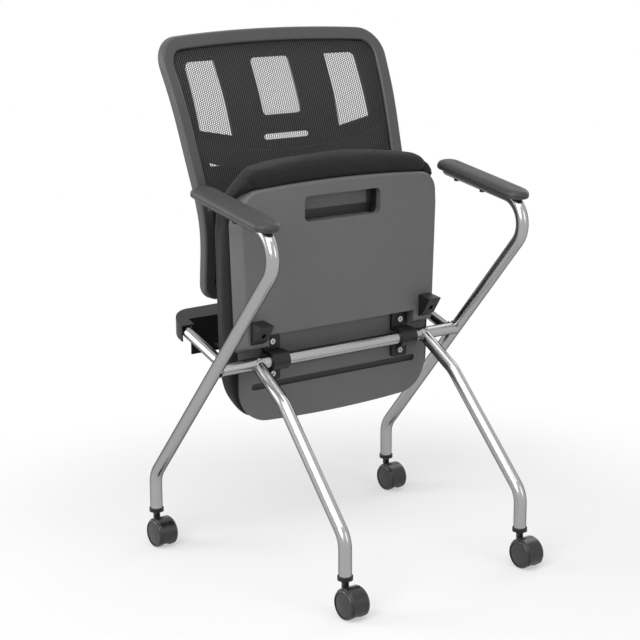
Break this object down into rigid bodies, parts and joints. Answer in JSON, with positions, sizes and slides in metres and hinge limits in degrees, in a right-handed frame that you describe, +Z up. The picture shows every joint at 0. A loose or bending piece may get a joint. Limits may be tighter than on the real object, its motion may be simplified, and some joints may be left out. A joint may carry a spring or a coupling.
{
  "type": "nesting chair",
  "caption": "Nesting office chair: bent steel tube frame with armrests, flip-up padded seat on a cross tube hinge, framed mesh back and four twin-wheel casters.",
  "frame": {"origin": "on the floor, midway between the left and right casters and between the front and rear caster stems", "axes": "+Z up, the sitter faces -Y, +X is the sitter's left"},
  "size_m": [0.574, 0.5487, 0.905],
  "materials": {
    "frame_paint": "silver grey metallic paint on steel tube, glossy",
    "bar_paint": "black painted flat steel",
    "bright_steel": "zinc plated screws, stems and axles",
    "pan_plastic": "fine grained dark grey polypropylene",
    "pad_plastic": "soft dark grey self-skinning foam",
    "ring_plastic": "fine grained dark grey nylon",
    "black_plastic": "fine grained black plastic",
    "caster_plastic": "satin black nylon",
    "wheel_plastic": "satin black nylon",
    "mesh_fabric": "open black knitted mesh, stretched",
    "seat_fabric": "black woven upholstery",
    "plywood": "plywood stained black"
  },
  "bodies": {
    "frame": {"side_frame_left": "frame_paint", "side_frame_right": "frame_paint", "front_leg_left": "frame_paint", "front_leg_right": "frame_paint", "seat_cross_tube": "frame_paint", "rear_u_tube": "frame_paint", "caster_sockets": "caster_plastic", "caster_stems": "bright_steel", "arm_pad_left": "pad_plastic", "arm_pad_right": "pad_plastic", "arm_tube_plugs": "black_plastic", "arm_pad_screws": "bright_steel", "rear_cover": "black_plastic", "rear_cover_screws": "bright_steel", "back_bar_left": "bar_paint", "back_bar_right": "bar_paint", "back_ring_frame": "ring_plastic", "mesh_welt": "black_plastic", "back_mesh": "mesh_fabric", "back_shell": "black_plastic", "lumbar_band": "black_plastic", "shell_screws": "bright_steel"},
    "seat": {"seat_pan": "pan_plastic", "seat_board": "plywood", "seat_cushion": "seat_fabric", "tee_nuts": "bright_steel", "clamp_screws": "bright_steel", "hinge_clamp_left": "black_plastic", "hinge_clamp_right": "black_plastic", "rest_block_left": "black_plastic", "rest_block_right": "black_plastic", "rest_block_screws": "bright_steel"},
    "caster_front_left": {"caster_hood_front_left": "caster_plastic", "caster_axle_front_left": "bright_steel"},
    "wheel_front_left_a": {"caster_wheel_front_left_a": "wheel_plastic"},
    "wheel_front_left_b": {"caster_wheel_front_left_b": "wheel_plastic"},
    "caster_front_right": {"caster_hood_front_right": "caster_plastic", "caster_axle_front_right": "bright_steel"},
    "wheel_front_right_a": {"caster_wheel_front_right_a": "wheel_plastic"},
    "wheel_front_right_b": {"caster_wheel_front_right_b": "wheel_plastic"},
    "caster_rear_left": {"caster_hood_rear_left": "caster_plastic", "caster_axle_rear_left": "bright_steel"},
    "wheel_rear_left_a": {"caster_wheel_rear_left_a": "wheel_plastic"},
    "wheel_rear_left_b": {"caster_wheel_rear_left_b": "wheel_plastic"},
    "caster_rear_right": {"caster_hood_rear_right": "caster_plastic", "caster_axle_rear_right": "bright_steel"},
    "wheel_rear_right_a": {"caster_wheel_rear_right_a": "wheel_plastic"},
    "wheel_rear_right_b": {"caster_wheel_rear_right_b": "wheel_plastic"}
  },
  "joints": [
    {"name": "seat_fold", "type": "hinge", "parent": "frame", "child": "seat", "pos_m": [0, 0.024, 0.363], "axis": [1, 0, 0], "range_deg": [0, 87]},
    {"name": "swivel_front_left", "type": "hinge", "parent": "frame", "child": "caster_front_left", "pos_m": [0.189, -0.234, 0.045], "axis": [0, 0, 1], "continuous": true},
    {"name": "roll_front_left_a", "type": "hinge", "parent": "caster_front_left", "child": "wheel_front_left_a", "pos_m": [0.189, -0.252, 0.025], "axis": [1, 0, 0], "continuous": true},
    {"name": "roll_front_left_b", "type": "hinge", "parent": "caster_front_left", "child": "wheel_front_left_b", "pos_m": [0.189, -0.252, 0.025], "axis": [1, 0, 0], "continuous": true},
    {"name": "swivel_front_right", "type": "hinge", "parent": "frame", "child": "caster_front_right", "pos_m": [-0.189, -0.234, 0.045], "axis": [0, 0, 1], "continuous": true},
    {"name": "roll_front_right_a", "type": "hinge", "parent": "caster_front_right", "child": "wheel_front_right_a", "pos_m": [-0.189, -0.252, 0.025], "axis": [1, 0, 0], "continuous": true},
    {"name": "roll_front_right_b", "type": "hinge", "parent": "caster_front_right", "child": "wheel_front_right_b", "pos_m": [-0.189, -0.252, 0.025], "axis": [1, 0, 0], "continuous": true},
    {"name": "swivel_rear_left", "type": "hinge", "parent": "frame", "child": "caster_rear_left", "pos_m": [0.262, 0.234, 0.045], "axis": [0, 0, 1], "continuous": true},
    {"name": "roll_rear_left_a", "type": "hinge", "parent": "caster_rear_left", "child": "wheel_rear_left_a", "pos_m": [0.262, 0.216, 0.025], "axis": [1, 0, 0], "continuous": true},
    {"name": "roll_rear_left_b", "type": "hinge", "parent": "caster_rear_left", "child": "wheel_rear_left_b", "pos_m": [0.262, 0.216, 0.025], "axis": [1, 0, 0], "continuous": true},
    {"name": "swivel_rear_right", "type": "hinge", "parent": "frame", "child": "caster_rear_right", "pos_m": [-0.262, 0.234, 0.045], "axis": [0, 0, 1], "continuous": true},
    {"name": "roll_rear_right_a", "type": "hinge", "parent": "caster_rear_right", "child": "wheel_rear_right_a", "pos_m": [-0.262, 0.216, 0.025], "axis": [1, 0, 0], "continuous": true},
    {"name": "roll_rear_right_b", "type": "hinge", "parent": "caster_rear_right", "child": "wheel_rear_right_b", "pos_m": [-0.262, 0.216, 0.025], "axis": [1, 0, 0], "continuous": true}
  ]
}
